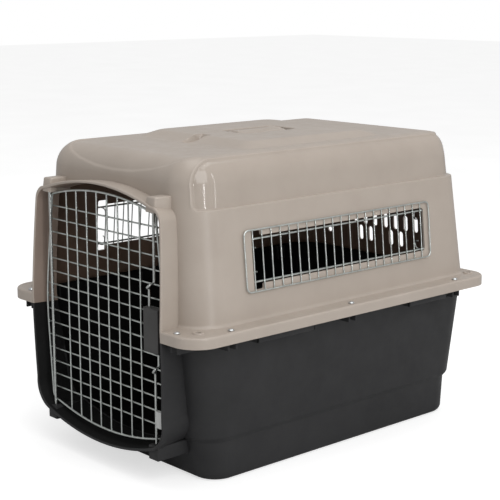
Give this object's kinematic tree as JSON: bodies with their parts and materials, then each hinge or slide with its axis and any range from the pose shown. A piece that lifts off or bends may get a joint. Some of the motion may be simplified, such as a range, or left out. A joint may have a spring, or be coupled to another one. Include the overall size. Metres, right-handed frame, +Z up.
{
  "type": "pet transport carrier",
  "caption": "Two-piece moulded pet carrier with a swinging wire door, sprung latch rods, wire side grilles and a pull-up carry handle.",
  "frame": {"origin": "centre of the carrier's footprint box on the floor", "axes": "+Z up, the door faces -Y, +X is the right-hand side seen from the front"},
  "size_m": [0.52, 0.714, 0.5395],
  "materials": {
    "shell_taupe": "satin moulded polypropylene, warm taupe",
    "tub_black": "fine-textured moulded polypropylene, black",
    "wire_zinc": "bright zinc-plated wire",
    "rod_zinc": "bright zinc-plated rod",
    "spring_steel": "drawn spring wire",
    "latch_plastic": "dark grey moulded plastic",
    "clip_plastic": "light grey moulded plastic",
    "fastener_steel": "zinc-plated steel"
  },
  "bodies": {
    "shell": {"top_shell": "shell_taupe", "bottom_shell": "tub_black", "window_frame_right": "wire_zinc", "window_frame_left": "wire_zinc", "window_bars_right": "wire_zinc", "window_bars_left": "wire_zinc", "window_rails_right": "wire_zinc", "window_rails_left": "wire_zinc", "window_hooks_right": "wire_zinc", "window_hooks_left": "wire_zinc", "flange_bolts": "fastener_steel", "bolt_washers": "fastener_steel", "wing_nuts": "fastener_steel"},
    "door": {"door_frame_wire": "wire_zinc", "door_vertical_wires": "wire_zinc", "door_horizontal_wires": "wire_zinc", "door_hinge_rod": "rod_zinc", "latch_spring_upper": "spring_steel", "latch_spring_lower": "spring_steel", "latch_cover": "latch_plastic", "latch_base_plate": "wire_zinc", "door_edge_clip": "clip_plastic"},
    "latch_upper": {"latch_rod_upper": "rod_zinc"},
    "latch_lower": {"latch_rod_lower": "rod_zinc"},
    "handle": {"carry_handle": "shell_taupe"}
  },
  "joints": [
    {"name": "door_swing", "type": "hinge", "parent": "shell", "child": "door", "pos_m": [-0.143, -0.3385, 0.266], "axis": [0, 0, -1], "range_deg": [0, 120]},
    {"name": "latch_upper_slide", "type": "slide", "parent": "door", "child": "latch_upper", "axis": [0, 0, 1], "range_m": [0, 0.01], "stiffness_N_per_m": 250, "springref_m": 0.01, "deforming": ["latch_spring_upper"]},
    {"name": "latch_lower_slide", "type": "slide", "parent": "door", "child": "latch_lower", "axis": [0, 0, -1], "range_m": [0, 0.01], "stiffness_N_per_m": 250, "springref_m": 0.01, "deforming": ["latch_spring_lower"]},
    {"name": "handle_lift", "type": "slide", "parent": "shell", "child": "handle", "axis": [0, 0, 1], "range_m": [0, 0.0195]}
  ]
}
